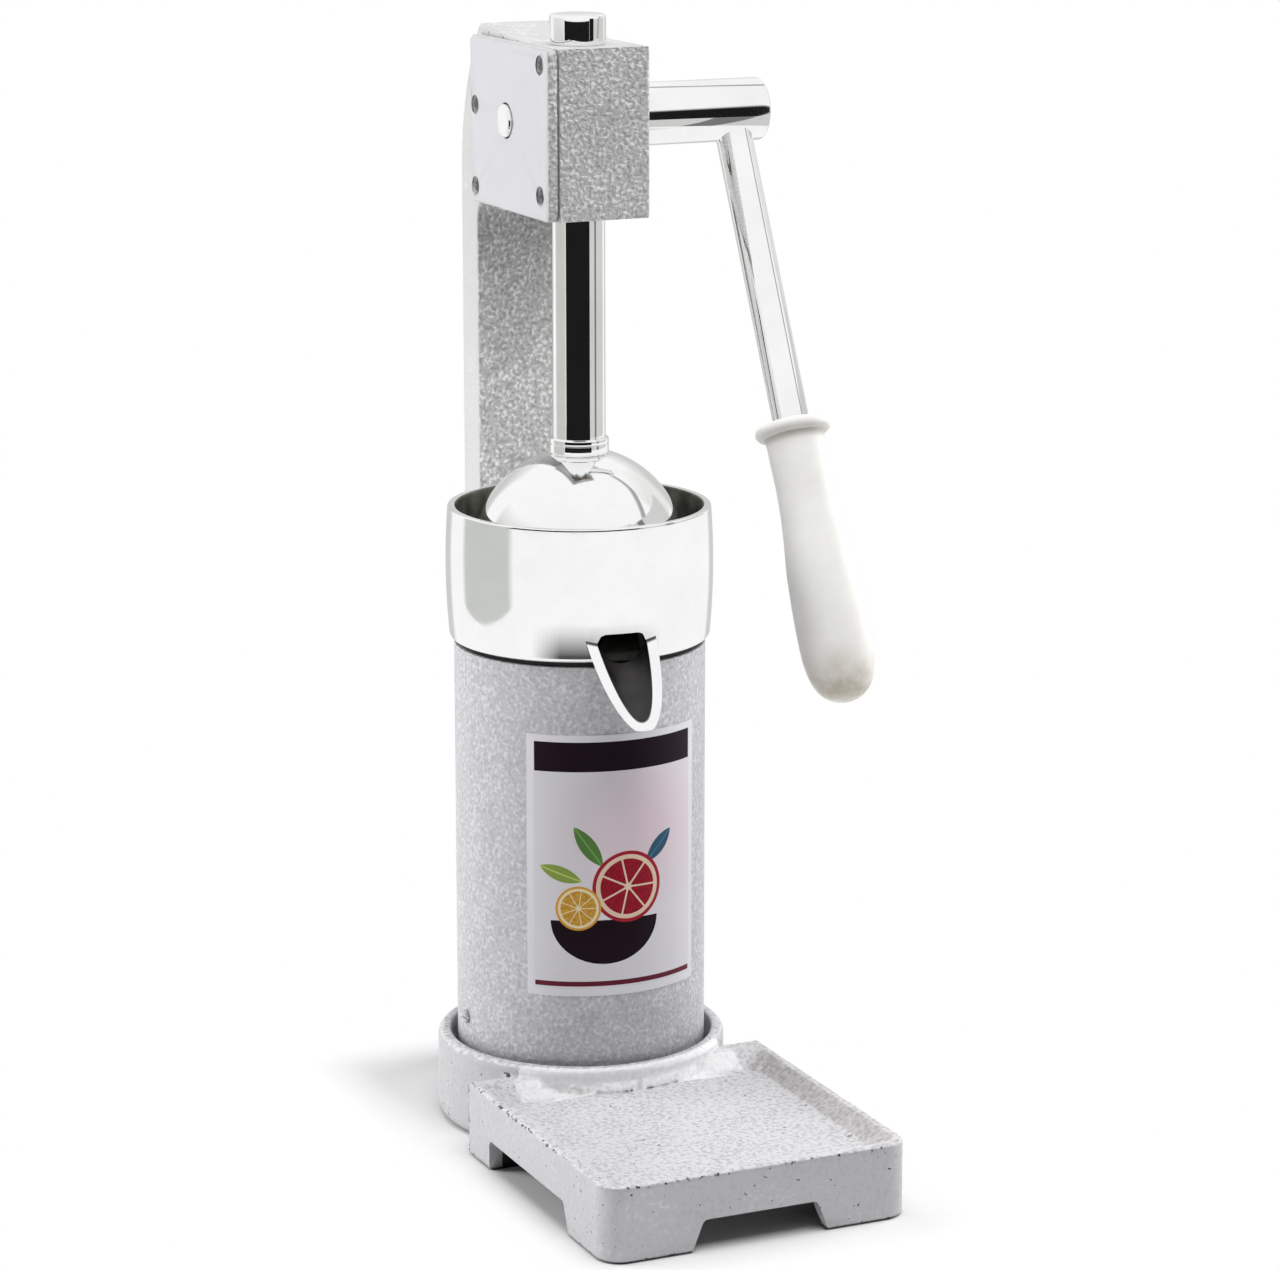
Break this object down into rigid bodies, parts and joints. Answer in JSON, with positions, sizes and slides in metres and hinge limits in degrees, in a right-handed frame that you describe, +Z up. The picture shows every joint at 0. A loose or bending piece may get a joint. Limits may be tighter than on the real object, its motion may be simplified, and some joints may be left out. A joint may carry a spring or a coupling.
{
  "type": "manual fruit press juicer",
  "caption": "Manual pomegranate juicer: side lever, rack-and-pinion head, press dome over a spouted cup, body tube, cast column and a base with a drip tray.",
  "frame": {"origin": "on the table, straight under the axis of the press rod", "axes": "+Z up; the tray and the spout are in front, towards -Y; the lever is on the right, towards +X"},
  "size_m": [0.1534, 0.251, 0.443],
  "materials": {
    "hammer_paint": "silver hammered paint with a fine speckle",
    "cover_paint": "smooth light grey paint",
    "polished_aluminium": "polished",
    "chrome_plate": "bright chrome plate",
    "cream_plastic": "smooth off-white",
    "zinc_steel": "bright zinc plate",
    "gear_steel": "machined and oiled",
    "bronze": "machined",
    "strainer_steel": "satin",
    "label_film": "printed film"
  },
  "bodies": {
    "stand": {"base_casting": "hammer_paint", "body_tube": "hammer_paint", "tube_screws": "zinc_steel", "front_label": "label_film", "arm_casting": "hammer_paint", "column_bolts": "zinc_steel", "column_washers": "zinc_steel", "gear_cover": "cover_paint", "cover_screws": "zinc_steel", "upper_rod_bush": "bronze", "lower_rod_bush": "bronze", "left_shaft_bush": "bronze", "right_shaft_bush": "bronze", "juice_cup": "polished_aluminium", "spout": "polished_aluminium", "strainer_cone": "strainer_steel"},
    "plunger": {"rack_rod": "chrome_plate", "stop_cap": "chrome_plate", "dome_collar": "chrome_plate", "press_dome": "polished_aluminium", "dome_washer": "zinc_steel", "dome_screw": "zinc_steel"},
    "lever": {"cross_shaft": "chrome_plate", "pinion": "gear_steel", "pinion_key": "gear_steel", "pinion_circlip": "zinc_steel", "lever_rod": "chrome_plate", "lever_grip": "cream_plastic"}
  },
  "joints": [
    {"name": "lever_swing", "type": "hinge", "parent": "stand", "child": "lever", "pos_m": [0.075, 0.02156, 0.4007], "axis": [-1, 0, 0], "range_deg": [0, 220]},
    {"name": "plunger_slide", "type": "slide", "parent": "stand", "child": "plunger", "axis": [0, 0, 1], "range_m": [0, 0.0634]}
  ],
  "couplings": [
    {"joint": "plunger_slide", "follows": "lever_swing", "m_per_rad": 0.0165}
  ]
}
